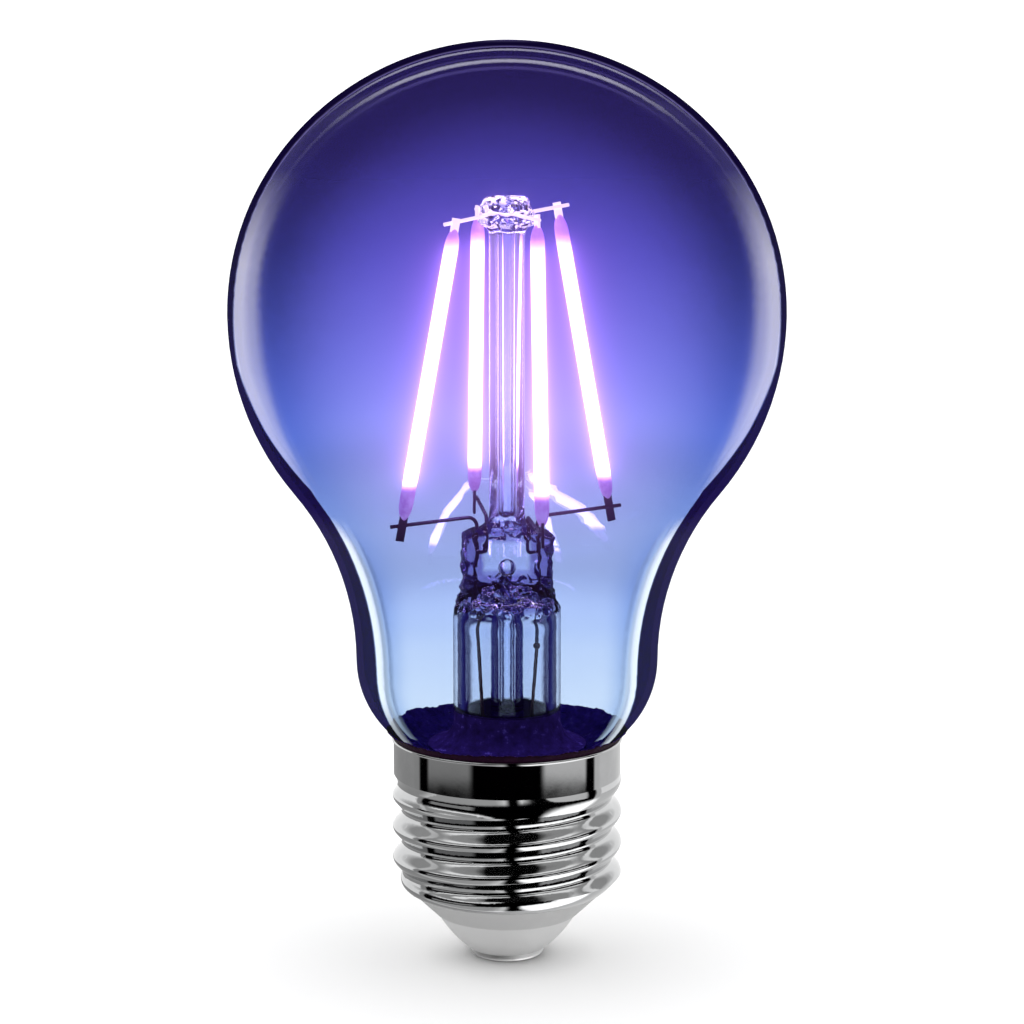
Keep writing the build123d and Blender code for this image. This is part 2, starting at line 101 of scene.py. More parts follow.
# Heights between which a look changes, in millimetres
LEVEL_TO_ROUND = (72.0, 82.0)
NECK_TO_GLOBE = (38.0, 56.0)
SHEEN_CHANGE = (46.0, 58.0)
STREAKS = (40.0, 57.0)
PAINTED_SHADE_TO_CLEAR = (28.7, 29.1)
PRESS_PAINTED_SHADE_ZONE = (40.5, 50.0)
PAINTED_ARBOR_GLOW_ZONE = (52.0, 70.0)
PAINTED_GLINT_ZONE = (85.5, 87.0)

# Dark ends of the LED strips, in millimetres from the strip's end
LOWER_DARK = 2.6
LOWER_LIT = 4.4
UPPER_DIM = 1.0
UPPER_LIT = 3.6

# How strongly things glow: the strips are lamps, the wire, glint and arbor glows are painted light
STRIP_LIGHT = 10.0
STRIP_END_LIGHT = 0.30
PAINTED_WIRE_GLOW = 4.0
PAINTED_GLINT_LIGHT = 11.0
PAINTED_ARBOR_GLOW_LIGHT = 0.45

# Soft light from the horizon and from overhead, and how bright the white floor and background are in it
HORIZON_LIGHT = 0.03
OVERHEAD_LIGHT = 1.72
OVERHEAD_SHARE = 0.826
FLOOR_SHADE = 0.95
WHITE = FLOOR_SHADE * (HORIZON_LIGHT + OVERHEAD_SHARE * (OVERHEAD_LIGHT - HORIZON_LIGHT))

filament_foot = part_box("filament_front")[0].z
filament_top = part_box("filament_front")[1].z
cement_low, cement_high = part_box("cement_ring")


class Shader:
    """A node tree under construction, with short calls for the nodes that the materials use."""

    def __init__(self, tree):
        self.tree = tree
        self.tree.nodes.clear()

    def node(self, kind, settings=None, **inputs):
        """A node of a kind, with settings as attributes and inputs set to values or linked to sockets."""
        made = self.tree.nodes.new(kind)
        for name, value in (settings or {}).items():
            setattr(made, name, value)
        for name, value in inputs.items():
            self.feed(self.socket(made, name), value)
        return made

    def socket(self, made, name):
        """An input by its name in lower case with underscores, or by its number as in n0."""
        if name[0] == "n" and name[1:].isdigit():
            return made.inputs[int(name[1:])]
        return made.inputs[name.replace("_", " ").title().replace("Ior", "IOR")]

    def feed(self, socket, value):
        """Links a socket to an input, or sets the input's own value."""
        if isinstance(value, bpy.types.NodeSocket):
            self.tree.links.new(value, socket)
        elif isinstance(value, bpy.types.Node):
            self.tree.links.new(value.outputs[0], socket)
        else:
            socket.default_value = value

    def math(self, operation, first, second=0.0, third=0.0):
        """A calculation with one, two or three values."""
        made = self.node("ShaderNodeMath", {"operation": operation}, n0=first, n1=second, n2=third)
        return made.outputs[0]

    def product(self, *values):
        """All values multiplied."""
        total = values[0]
        for value in values[1:]:
            total = self.math("MULTIPLY", total, value)
        return total

    def sum(self, *values):
        """All values added."""
        total = values[0]
        for value in values[1:]:
            total = self.math("ADD", total, value)
        return total

    def fade(self, value, low, high, start=0.0, end=1.0):
        """A smooth step of a value from low to high, as start to end."""
        made = self.node(
            "ShaderNodeMapRange", {"interpolation_type": "SMOOTHSTEP"},
            n0=value, n1=low, n2=high, n3=start, n4=end,
        )
        return made.outputs[0]

    def climb(self, height, heights, start=0.0, end=1.0):
        """A smooth step between two heights in millimetres, as start to end."""
        low, high = heights
        return self.fade(height, low * MM, high * MM, start, end)

    def band(self, value, low, high, soft):
        """One inside a band of values and zero outside it, with soft edges."""
        rise = self.fade(value, low - soft, low + soft)
        fall = self.fade(value, high - soft, high + soft, 1.0, 0.0)
        return self.product(rise, fall)

    def ramp(self, value, stops):
        """A colour ramp over stops of (place, colour)."""
        made = self.node("ShaderNodeValToRGB", n0=value)
        elements = made.color_ramp.elements
        while len(elements) < len(stops):
            elements.new(0.5)
        for element, (place, colour) in zip(elements, stops):
            element.position = place
            element.color = (*colour, 1.0)
        return made.outputs[0]

    def by_height(self, height, stops):
        """A colour ramp over stops of (height in millimetres, colour or grey level)."""
        low = stops[0][0]
        high = stops[-1][0]
        share = self.node("ShaderNodeMapRange", n0=height, n1=low * MM, n2=high * MM).outputs[0]
        places = []
        for level, colour in stops:
            shade = colour if isinstance(colour, tuple) else (colour, colour, colour)
            places.append(((level - low) / (high - low), shade))
        return self.ramp(share, places)

    def less(self, value):
        """One less a value."""
        return self.math("SUBTRACT", 1.0, value)

    def size(self, value):
        """A value without its sign."""
        return self.math("ABSOLUTE", value)

    def square(self, value):
        """A value times itself."""
        return self.math("MULTIPLY", value, value)

    def vector(self, operation, first, second=(0.0, 0.0, 0.0)):
        """A calculation with one or two vectors."""
        made = self.node("ShaderNodeVectorMath", {"operation": operation}, n0=first, n1=second)
        return made.outputs["Value"] if operation == "DOT_PRODUCT" else made.outputs["Vector"]

    def mix(self, share, first, second, kind="MIX"):
        """A mix of two colours."""
        made = self.node("ShaderNodeMix", {"data_type": "RGBA", "blend_type": kind})
        self.feed(made.inputs[0], share)
        self.feed(made.inputs[6], first)
        self.feed(made.inputs[7], second)
        return made.outputs[2]

    def grey(self, level):
        """A grey of a level."""
        return self.node("ShaderNodeCombineColor", red=level, green=level, blue=level).outputs[0]

    def noise(self, vector, scale, detail=4.0, roughness=0.55):
        """Noise between 0 and 1 over a place."""
        made = self.node("ShaderNodeTexNoise", vector=vector, scale=scale, detail=detail, roughness=roughness)
        return made.outputs[0]

    def bump(self, height, strength, distance):
        """A normal that a fine relief tilts."""
        made = self.node("ShaderNodeBump", strength=strength, distance=distance, height=height)
        return made.outputs[0]

    def place(self):
        """The position on the piece, in metres."""
        return self.node("ShaderNodeTexCoord").outputs["Object"]

    def height(self):
        """The height on the piece, in metres."""
        return self.node("ShaderNodeSeparateXYZ", n0=self.place()).outputs[2]

    def outward(self, normal):
        """Above zero where a normal points away from the lamp's axis, below zero where it points to it."""
        from_axis = self.vector("MULTIPLY", self.place(), (1.0, 1.0, 0.0))
        return self.vector("DOT_PRODUCT", normal, from_axis)

    def surface(self, shader):
        """Ends the material with its shader."""
        self.node("ShaderNodeOutputMaterial", n0=shader)


def material(name):
    """A new material and the shader that builds it."""
    made = bpy.data.materials.new(name)
    made.use_nodes = True
    return made, Shader(made.node_tree)


def finish_nodes(made, names):
    """Gives CAD nodes a material in their slots."""
    for name in names:
        nodes[name].data.materials.clear()
        nodes[name].data.materials.append(made)


def quarter(colour):
    """What one of the four glass faces on a line of sight lets through, for a colour seen through all."""
    return tuple((channel / WHITE) ** 0.25 for channel in colour)


# By height on the globe, in millimetres: the colour of the white background seen through it, the share
# of it that stays where a wall is seen aslant, the slant at which the mirror along its side starts and
# ends, and the strength of that mirror
SEEN_THROUGH = [
    (33.0, (0.57, 0.73, 0.97)),
    (41.0, (0.375, 0.53, 0.94)),
    (52.0, (0.39, 0.49, 0.99)),
    (66.0, (0.205, 0.23, 0.88)),
    (81.0, (0.09, 0.083, 0.54)),
    (92.0, (0.055, 0.046, 0.35)),
    (104.0, (0.05, 0.036, 0.28)),
]
SLANTING = [
    (45.0, (0.67, 0.76, 0.90)),
    (52.0, (0.81, 0.90, 0.96)),
    (62.0, (0.61, 0.74, 0.86)),
    (81.0, (0.54, 0.60, 0.60)),
    (92.0, (0.60, 0.57, 0.56)),
]
MIRROR_START = [(47.0, 0.385), (56.0, 0.47), (68.0, 0.485), (82.0, 0.525)]
MIRROR_END = [(56.0, 0.50), (62.0, 0.64), (69.0, 0.765)]
MIRROR = [
    (50.0, 0.90), (53.0, 0.0), (55.0, 0.0), (60.0, 0.40), (66.0, 0.54),
    (80.0, 0.54), (86.0, 0.22), (90.0, 0.03), (94.0, 0.03), (99.0, 0.10),
]


def tinted_glass():
    """Thin tinted glass: deeper in colour where it is seen aslant, then a bright mirror, then a dark edge."""
    made, s = material("tinted_glass")
    height = s.height()
    geometry = s.node("ShaderNodeNewGeometry").outputs
    normal = geometry["Normal"]
    outer_face = s.less(geometry["Backfacing"])
    near_wall = s.fade(s.outward(normal), -MM, MM)
    upright = s.node("ShaderNodeCombineXYZ", x=1.0, y=1.0, z=s.climb(height, LEVEL_TO_ROUND))
    level_normal = s.vector("NORMALIZE", s.vector("MULTIPLY", normal, upright))
    slant = s.node("ShaderNodeLayerWeight", blend=0.5, normal=level_normal).outputs["Facing"]
    mirror_start = s.by_height(height, MIRROR_START)
    mirror_width = s.math("SUBTRACT", s.by_height(height, MIRROR_END), mirror_start)
    crescent = s.math("DIVIDE", s.math("SUBTRACT", slant, mirror_start), mirror_width)

    tint = s.by_height(height, [(level, quarter(colour)) for level, colour in SEEN_THROUGH])
    deepening = s.fade(slant, s.climb(height, NECK_TO_GLOBE, 0.24, 0.09), 0.50)
    deep_tint = s.mix(1.0, tint, s.by_height(height, SLANTING), "MULTIPLY")
    tint = s.mix(s.product(near_wall, deepening), tint, deep_tint)
    edge = s.product(near_wall, outer_face, s.fade(crescent, 1.0, 1.2))
    edge_tint = s.mix(1.0, tint, (0.018, 0.010, 0.065, 1.0), "MULTIPLY")
    clear = s.node("ShaderNodeBsdfTransparent", color=s.mix(edge, tint, edge_tint))

    streaks_foot, streaks_top = STREAKS
    streaks = s.product(s.less(near_wall), s.band(height, streaks_foot * MM, streaks_top * MM, 3 * MM), 0.12)
    far_gloss = s.node("ShaderNodeBsdfGlossy", color=(0.9, 0.9, 1.0, 1.0), roughness=0.02)
    wall = s.node("ShaderNodeMixShader", n0=streaks, n1=clear, n2=far_gloss)

    sheen = s.mix(s.climb(height, SHEEN_CHANGE), (0.80, 0.90, 1.0, 1.0), (0.76, 0.75, 0.87, 1.0))
    gloss = s.node("ShaderNodeBsdfGlossy", color=sheen, roughness=0.02, normal=level_normal)
    rise = s.sum(s.fade(crescent, 0.0, 0.35, 0.0, 0.5), s.fade(crescent, 0.30, 0.80, 0.0, 0.5))
    fall = s.fade(crescent, 1.0, 1.15, 1.0, 0.015)
    mirror = s.product(near_wall, s.by_height(height, MIRROR), rise, fall)
    s.surface(s.node("ShaderNodeMixShader", n0=mirror, n1=wall, n2=gloss))
    return made


def cement_grains(s):
    """Noise for the grains of the cement, also for the painted shade on the foot of the stem's glass."""
    return s.noise(s.place(), 900.0, 6.0, 0.7)


def clear_glass():
    """The stem's glass: clear, with painted shade round the press's window and on its foot at the seal,
    a painted glow along its arbor and painted glints in its bead."""
    made, s = material("clear_glass")
    place = s.place()
    across, away, height = s.node("ShaderNodeSeparateXYZ", n0=place).outputs

    window_edge = 3.0
    window_width = s.fade(s.size(across), WINDOW_HALF_WIDTH * MM, window_edge * MM, 1.0, 0.0)
    window = s.product(window_width, s.band(height, WINDOW_FOOT * MM, WINDOW_TOP * MM, 0.3 * MM))
    # Painted shade: the press's glass is darkened round its clear window
    press_shade_foot, press_shade_top = PRESS_PAINTED_SHADE_ZONE
    press_painted_shade = s.product(s.band(height, press_shade_foot * MM, press_shade_top * MM, 0.4 * MM), s.less(window))
    shade = s.mix(press_painted_shade, (0.90, 0.93, 1.0, 1.0), (0.36, 0.32, 0.60, 1.0))

    # Painted glints: glowing spots in the bead that stand in for highlights
    painted_glint_spots = s.fade(s.noise(place, 1400.0, 2.0), 0.50, 0.60)
    painted_bead_glints = s.product(painted_glint_spots, s.climb(height, PAINTED_GLINT_ZONE), PAINTED_GLINT_LIGHT)
    # Painted glow along the arbor's outer wall, standing in for the strips' light caught in the glass rod
    reach = s.math("SQRT", s.sum(s.square(across), s.square(away)))
    outer_wall = s.fade(reach, ARBOR_BORE * MM, ARBOR_RADIUS * MM)
    below_bead = s.climb(height, (BEAD_FOOT - 1.0, BEAD_FOOT), 1.0, 0.0)
    painted_arbor_glow = s.product(outer_wall, s.climb(height, PAINTED_ARBOR_GLOW_ZONE), below_bead, PAINTED_ARBOR_GLOW_LIGHT)
    glass = s.node(
        "ShaderNodeBsdfPrincipled", base_color=shade, roughness=0.0, transmission_weight=1.0, ior=1.5,
        normal=s.bump(s.noise(place, 700.0, 2.0), 0.12, 0.1 * MM),
        emission_color=(1.0, 0.85, 0.75, 1.0), emission_strength=s.sum(painted_bead_glints, painted_arbor_glow),
    )

    # Painted shade: the foot of the stem's glass is a dark grained diffuse, with pale painted glints
    dark = (0.02, 0.008, 0.06)
    violet = (0.04, 0.016, 0.13)
    pale_painted_glint = (0.30, 0.18, 0.80)
    grained = s.ramp(cement_grains(s), [(0.35, dark), (0.60, violet), (0.78, pale_painted_glint)])
    dark_foot_painted_shade = s.node("ShaderNodeBsdfDiffuse", color=grained)
    s.surface(s.node("ShaderNodeMixShader", n0=s.climb(height, PAINTED_SHADE_TO_CLEAR), n1=dark_foot_painted_shade, n2=glass))
    return made


def phosphor_coat():
    """The strips' coat: lit between its two ends."""
    made, s = material("phosphor_coat")
    height = s.height()
    lower = s.fade(height, filament_foot + LOWER_DARK * MM, filament_foot + LOWER_LIT * MM)
    upper = s.fade(height, filament_top - UPPER_LIT * MM, filament_top - UPPER_DIM * MM, 1.0, 0.25)
    lit = s.product(lower, upper)
    power = s.math("MULTIPLY_ADD", lit, STRIP_LIGHT, STRIP_END_LIGHT)
    glow = s.mix(lit, (0.55, 0.16, 0.62, 1.0), (0.95, 0.62, 1.0, 1.0))
    mottle = s.noise(s.place(), 900.0)
    shade = s.ramp(mottle, [(0.35, (0.62, 0.30, 0.60)), (0.65, (0.90, 0.62, 0.82))])
    coat = s.node(
        "ShaderNodeBsdfPrincipled", base_color=shade, roughness=0.45,
        emission_color=glow, emission_strength=power,
    )
    s.surface(coat)
    return made


# How deep the fine grain of metals and plastics is, in metres
GRAIN_DEPTH = 0.05 * MM


def tinned_wire_painted_glow():
    """Bright tinned metal with a painted glow that stands in for the strips' light on it."""
    made, s = material("tinned_wire_painted_glow")
    speckle = s.noise(s.place(), 900.0)
    shade = s.ramp(speckle, [(0.3, (0.85, 0.76, 0.75)), (0.7, (1.0, 0.92, 0.90))])
    # The emission is a painted glow: the wires are no lamp
    body = s.node(
        "ShaderNodeBsdfPrincipled", base_color=shade, metallic=0.3, roughness=0.4,
        emission_color=(1.0, 0.82, 0.42, 1.0), emission_strength=PAINTED_WIRE_GLOW,
        normal=s.bump(speckle, 0.1, GRAIN_DEPTH),
    )
    s.surface(body)
    return made


def metal(name, colour, roughness, grain, depth):
    """A metal whose roughness and surface vary with a fine grain."""
    made, s = material(name)
    speckle = s.noise(s.place(), grain)
    rough = s.fade(speckle, 0.3, 0.7, roughness * 0.75, roughness * 1.25)
    shade = s.ramp(speckle, [(0.3, tuple(0.9 * c for c in colour)), (0.7, colour)])
    body = s.node(
        "ShaderNodeBsdfPrincipled", base_color=shade, metallic=1.0, roughness=rough,
        normal=s.bump(speckle, depth, GRAIN_DEPTH),
    )
    s.surface(body)
    return made


def moulding(name, colour, roughness, grain, depth):
    """A moulded or coated surface with a fine grain."""
    made, s = material(name)
    speckle = s.noise(s.place(), grain)
    shade = s.ramp(speckle, [(0.3, tuple(0.92 * c for c in colour)), (0.7, colour)])
    body = s.node(
        "ShaderNodeBsdfPrincipled", base_color=shade, roughness=roughness,
        normal=s.bump(speckle, depth, GRAIN_DEPTH),
    )
    s.surface(body)
    return made


def insulator_plastic():
    """Grey plastic, painted paler on the cup and darker on the band above it, as painted shade."""
    made, s = material("insulator_plastic")
    speckle = s.noise(s.place(), 700.0)
    cup_top = 5.0
    band_foot = 5.3
    # Painted shade: the band above the cup is darker and the cup paler, from how light falls on their slopes
    shade = s.by_height(s.height(), [(cup_top, 0.66), (band_foot, 0.46)])
    body = s.node(
        "ShaderNodeBsdfPrincipled", base_color=shade, roughness=s.fade(speckle, 0.3, 0.7, 0.40, 0.52),
        normal=s.bump(speckle, 0.05, GRAIN_DEPTH),
    )
    s.surface(body)
    return made


def basing_cement():
    """Dark cement whose violet grains and pale specks are partly painted light and glints, with painted shade
    on its outer face.
    """
    made, s = material("basing_cement")
    normal = s.node("ShaderNodeNewGeometry").outputs["Normal"]
    # Painted shade: the outer face, where light falls on it directly, is darkened to near black
    outer_face = s.fade(s.outward(normal), -2 * MM, 2 * MM)
    grains = cement_grains(s)
    # The violet and pale grains are partly the cement's own grain and partly painted light and glints
    dark = (0.13, 0.045, 0.34)
    violet = (0.30, 0.11, 0.80)
    pale_painted_glint = (0.90, 0.60, 1.0)
    grained = s.ramp(grains, [(0.35, dark), (0.60, violet), (0.78, pale_painted_glint)])
    body = s.node(
        "ShaderNodeBsdfPrincipled", base_color=s.mix(outer_face, grained, (0.016, 0.002, 0.014, 1.0)),
        roughness=0.5, specular_ior_level=0.05, normal=s.bump(grains, 0.9, 0.4 * MM),
    )
    s.surface(body)
    return made


def ring_surface(name, rings, wrapped):
    """A closed smooth mesh through rings of points, wrapped to its start or with a point at each end."""
    count = len(rings[0])
    points = [point for ring in rings for point in ring]
    faces = []
    spans = len(rings) if wrapped else len(rings) - 1
    for span in range(spans):
        here = span * count
        there = (span + 1) % len(rings) * count
        for step in range(count):
            after = (step + 1) % count
            faces.append((here + step, here + after, there + after, there + step))
    if not wrapped:
        for end in (0, len(rings) - 1):
            tip = len(points)
            points.append(sum(rings[end], Vector()) / count)
            for step in range(count):
                faces.append((tip, end * count + step, end * count + (step + 1) % count))
    mesh = bpy.data.meshes.new(name)
    mesh.from_pydata([point * MM for point in points], [], faces)
    body = bmesh.new()
    body.from_mesh(mesh)
    bmesh.ops.recalc_face_normals(body, faces=body.faces)
    body.to_mesh(mesh)
    body.free()
    mesh.shade_smooth()
    made = bpy.data.objects.new(name, mesh)
    bpy.context.scene.collection.objects.link(made)
    return made


def curve_through(keys, per_span):
    """Rows of values on a smooth curve through rows of key values."""
    rows = []
    for index in range(len(keys) - 1):
        before = keys[max(index - 1, 0)]
        start = keys[index]
        end = keys[index + 1]
        after = keys[min(index + 2, len(keys) - 1)]
        for step in range(per_span):
            t = step / per_span
            row = []
            for a, b, c, d in zip(before, start, end, after):
                slope_in = (c - a) / 2
                slope_out = (d - b) / 2
                rise = c - b
                row.append(
                    b + slope_in * t + (3 * rise - 2 * slope_in - slope_out) * t**2
                    + (slope_in + slope_out - 2 * rise) * t**3
                )
            rows.append(row)
    rows.append(list(keys[-1]))
    return rows


# Points round the stem, and the melted lumps of its press and bead in millimetres
STEM_STEPS = 144
LUMP_SIZE = 1.1
LUMP_HEIGHT = 0.45
FINE_LUMPS = 2.3
FINE_LUMP_SHARE = 0.5
PRESS_LUMPS_START = (39.6, 41.5)
PRESS_LUMPS_END = (49.6, 51.5)
BEAD_LUMPS_START = (82.6, 84.0)
BEAD_LUMP_SHARE = 0.8
WINDOW_CLEARED_SHARE = 0.9
WINDOW_SIDE_EDGE = 0.9
WINDOW_FOOT_EDGE = 0.8
WINDOW_TOP_EDGE = 0.6


def smooth(value, low, high):
    """A smooth step of a number from low to high."""
    share = min(max((value - low) / (high - low), 0.0), 1.0)
    return share * share * (3 - 2 * share)


def stem_lump(point):
    """How far lumps stand out of the stem at a point, in millimetres: none on the tube, few in the window."""
    pressed = smooth(point.z, *PRESS_LUMPS_START) * (1 - smooth(point.z, *PRESS_LUMPS_END))
    beaded = smooth(point.z, *BEAD_LUMPS_START)
    window_width = 1 - smooth(abs(point.x), WINDOW_HALF_WIDTH, WINDOW_HALF_WIDTH + WINDOW_SIDE_EDGE)
    above_foot = smooth(point.z, WINDOW_FOOT - WINDOW_FOOT_EDGE, WINDOW_FOOT)
    above_top = smooth(point.z, WINDOW_TOP, WINDOW_TOP + WINDOW_TOP_EDGE)
    window = window_width * above_foot * (1 - above_top)
    share = max(pressed * (1 - WINDOW_CLEARED_SHARE * window), BEAD_LUMP_SHARE * beaded)
    if share == 0:
        return 0.0
    fine = noise.noise(point * FINE_LUMPS / LUMP_SIZE)
    rough = noise.noise(point / LUMP_SIZE) + FINE_LUMP_SHARE * fine
    return LUMP_HEIGHT * share * rough


def flat_ring(height, half_width, half_depth, squareness):
    """A level ring of points on a rounded oblong, with the stem's lumps."""
    ring = []
    for step in range(STEM_STEPS):
        turn = 2 * pi * step / STEM_STEPS
        reach = abs(cos(turn) / half_width) ** squareness + abs(sin(turn) / half_depth) ** squareness
        reach **= -1 / squareness
        point = Vector((reach * cos(turn), reach * sin(turn), height))
        out = Vector((cos(turn), sin(turn), 0))
        ring.append(point + out * stem_lump(point))
    return ring


def round_ring(height, radius):
    """A level round ring of points, with the stem's lumps."""
    return flat_ring(height, radius, radius, 2)


def straight_rings(start, end, radius, steps):
    """Round rings of points between two heights, without the rings at these heights."""
    return [round_ring(start + (end - start) * step / steps, radius) for step in range(1, steps)]


def bent_rings(height, rise, radius, reach, turns):
    """Round rings of points along an arc, which rises from a height and reaches out from a radius."""
    return [round_ring(height + rise * sin(turn), radius + reach * cos(turn)) for turn in turns]


def stem_rings():
    """The glass of the stem, from the top of the bead down outside, round the seal and up and down inside."""
    half_width = PRESS_WIDTH / 2
    half_depth = PRESS_DEPTH / 2
    bead = [
        (BEAD_TOP, 0.4, 0.4, 2.0),
        (BEAD_TOP - 0.05, BEAD_TOP_RADIUS - 0.8, BEAD_TOP_RADIUS - 0.8, 2.0),
        (BEAD_TOP - 0.35, BEAD_TOP_RADIUS - 0.15, BEAD_TOP_RADIUS - 0.15, 2.0),
        (BEAD_TOP - 0.9, BEAD_TOP_RADIUS + 0.08, BEAD_TOP_RADIUS + 0.08, 2.0),
        (BEAD_FOOT + 0.9, BEAD_FOOT_RADIUS - 0.05, BEAD_FOOT_RADIUS - 0.05, 2.0),
        (BEAD_FOOT + 0.35, BEAD_FOOT_RADIUS - 0.2, BEAD_FOOT_RADIUS - 0.2, 2.0),
        (BEAD_FOOT, BEAD_FOOT_RADIUS - 0.75, BEAD_FOOT_RADIUS - 0.75, 2.0),
        (BEAD_FOOT - 0.5, ARBOR_RADIUS + 0.05, ARBOR_RADIUS + 0.05, 2.0),
        (BEAD_FOOT - 1.4, ARBOR_RADIUS, ARBOR_RADIUS, 2.0),
        (BEAD_FOOT - 2.6, ARBOR_RADIUS, ARBOR_RADIUS, 2.0),
    ]
    press = [
        (PRESS_TOP + 3.2, ARBOR_RADIUS, ARBOR_RADIUS, 2.0),
        (PRESS_TOP + 2.0, ARBOR_RADIUS, ARBOR_RADIUS, 2.0),
        (PRESS_TOP + 0.9, ARBOR_RADIUS + 0.2, ARBOR_RADIUS + 0.02, 2.0),
        (PRESS_TOP + 0.25, ARBOR_RADIUS + 1.0, ARBOR_RADIUS + 0.05, 2.4),
        (PRESS_TOP - 0.05, half_width - 1.1, half_depth - 0.22, 3.0),
        (PRESS_TOP - 0.5, half_width - 0.25, half_depth - 0.06, 4.0),
        (PRESS_TOP - 1.4, half_width, half_depth, 4.5),
        (PRESS_FOOT + 2.2, half_width, half_depth, 4.5),
        (PRESS_FOOT + 0.8, half_width + 0.05, half_depth + 0.2, 3.6),
        (PRESS_FOOT - 0.6, half_width + 0.35, half_depth + 1.5, 2.5),
        (PRESS_FOOT - 1.8, half_width + 0.85, half_depth + 3.2, 2.0),
        (PRESS_FOOT - 3.0, TUBE_RADIUS, TUBE_RADIUS, 2.0),
        (PRESS_FOOT - 4.4, TUBE_RADIUS, TUBE_RADIUS, 2.0),
    ]
    bead_foot = bead[-1][0]
    press_top = press[0][0]
    press_foot = press[-1][0]
    bell_top = SEAL_INSIDE + BELL_OUTER_ROUND
    inner_top = SEAL_OUTSIDE + BELL_INNER_ROUND
    arch_middle = (BORE_RADIUS + EXHAUST_RADIUS) / 2
    arch_round = (BORE_RADIUS - EXHAUST_RADIUS) / 2
    tip_length = EXHAUST_STRAIGHT - EXHAUST_TIP
    quarter_steps = 14
    half_steps = 24
    quarter_turn = [radians(90 * step / quarter_steps) for step in range(quarter_steps + 1)]
    half_turn = [radians(180 * step / half_steps) for step in range(half_steps + 1)]
    rings = [flat_ring(*row) for row in curve_through(bead, 8)]
    rings += straight_rings(bead_foot, press_top, ARBOR_RADIUS, 10)
    rings += [flat_ring(*row) for row in curve_through(press, 9)]
    rings += straight_rings(press_foot, bell_top, TUBE_RADIUS, 6)
    rings += bent_rings(bell_top, -BELL_OUTER_ROUND, SEAL_RADIUS, -BELL_OUTER_ROUND, quarter_turn)
    rings += bent_rings(inner_top, -BELL_INNER_ROUND, SEAL_RADIUS, -BELL_INNER_ROUND, reversed(quarter_turn))
    rings += straight_rings(inner_top, BORE_END, BORE_RADIUS, 6)
    rings += bent_rings(BORE_END, arch_round, arch_middle, arch_round, half_turn)
    rings += straight_rings(BORE_END, EXHAUST_STRAIGHT, EXHAUST_RADIUS, 8)
    rings += bent_rings(EXHAUST_STRAIGHT, -tip_length, 0.0, EXHAUST_RADIUS, quarter_turn[:-1])
    return rings


# Points round the bores of the exhaust tube and the arbor
BORE_STEPS = 40


def blow_tunnel():
    """The exhaust tube's bore, turned forwards in the press and out through its front."""
    bend_steps = 16
    bend_radius = 1.2
    bend_foot = BLOW_HOLE_HEIGHT - bend_radius
    path = [(0.0, EXHAUST_STRAIGHT, 0.0, EXHAUST_BORE), (0.0, PRESS_FOOT, 0.0, EXHAUST_BORE)]
    for step in range(bend_steps + 1):
        turn = radians(90 * step / bend_steps)
        radius = EXHAUST_BORE + (BLOW_HOLE_RADIUS - EXHAUST_BORE) * step / bend_steps
        path.append((bend_radius * (cos(turn) - 1), bend_foot + bend_radius * sin(turn), turn, radius))
    path.append((-PRESS_DEPTH, BLOW_HOLE_HEIGHT, pi / 2, BLOW_HOLE_RADIUS))
    rings = []
    for depth, height, turn, radius in path:
        ring = []
        for step in range(BORE_STEPS):
            round_turn = -2 * pi * step / BORE_STEPS
            off = radius * sin(round_turn)
            ring.append(Vector((radius * cos(round_turn), depth + off * cos(turn), height + off * sin(turn))))
        rings.append(ring)
    return ring_surface("blow_tunnel", rings, False)


def arbor_bore():
    """The bore of the arbor, closed by a round end below and above."""
    end_steps = 8
    end_turns = [radians(90 * step / end_steps) for step in range(1, end_steps)]
    profile = [(ARBOR_BORE_FOOT + ARBOR_BORE * (1 - cos(turn)), ARBOR_BORE * sin(turn)) for turn in end_turns]
    profile.append((ARBOR_BORE_FOOT + ARBOR_BORE, ARBOR_BORE))
    profile += [(ARBOR_BORE_FOOT + ARBOR_BORE_TOP - height, radius) for height, radius in reversed(profile)]
    turns = [2 * pi * step / BORE_STEPS for step in range(BORE_STEPS)]
    rings = []
    for height, radius in profile:
        rings.append([Vector((radius * cos(turn), radius * sin(turn), height)) for turn in turns])
    return ring_surface("arbor_bore", rings, False)


def fused_stem(glass):
    """Flare, press, arbor, bead and exhaust tube as the one piece of glass that they are melted into."""
    stem = ring_surface("glass_stem", stem_rings(), False)
    bores = [blow_tunnel(), arbor_bore()]
    for bore in bores:
        cut = stem.modifiers.new(bore.name, "BOOLEAN")
        cut.operation = "DIFFERENCE"
        cut.solver = "EXACT"
        cut.object = bore
    evaluated = stem.evaluated_get(bpy.context.evaluated_depsgraph_get())
    mesh = bpy.data.meshes.new_from_object(evaluated)
    stem.modifiers.clear()
    stem.data = mesh
    mesh.name = "glass_stem"
    for bore in bores:
        bpy.data.objects.remove(bore)
    mesh.shade_smooth()
    sharp_edge = radians(50)
    mesh.set_sharp_from_angle(angle=sharp_edge)
    mesh.materials.clear()
    mesh.materials.append(glass)
    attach(stem, "root")
    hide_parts("stem", "exhaust_tube", "arbor")


# Points of the cement round the lamp, down the glass and in under the seal, and its sizes in millimetres
CEMENT_STEPS = 240
GLASS_STEPS = 26
SEAL_STEPS = 12
CEMENT_INSIDE = SEAL_RADIUS - 3.6
CEMENT_CLEARANCE = 0.02
CRUMB_SIZE = 0.8
FINE_CRUMBS = 2.6
CRUMB_DEPTH = 0.25
CREEP_HEIGHT = 1.2
CREEP_WAVE = 3.0
CREEP_RIPPLE = 0.6
LIP_WIDTH = 0.12
LIP_HEIGHT = 0.08


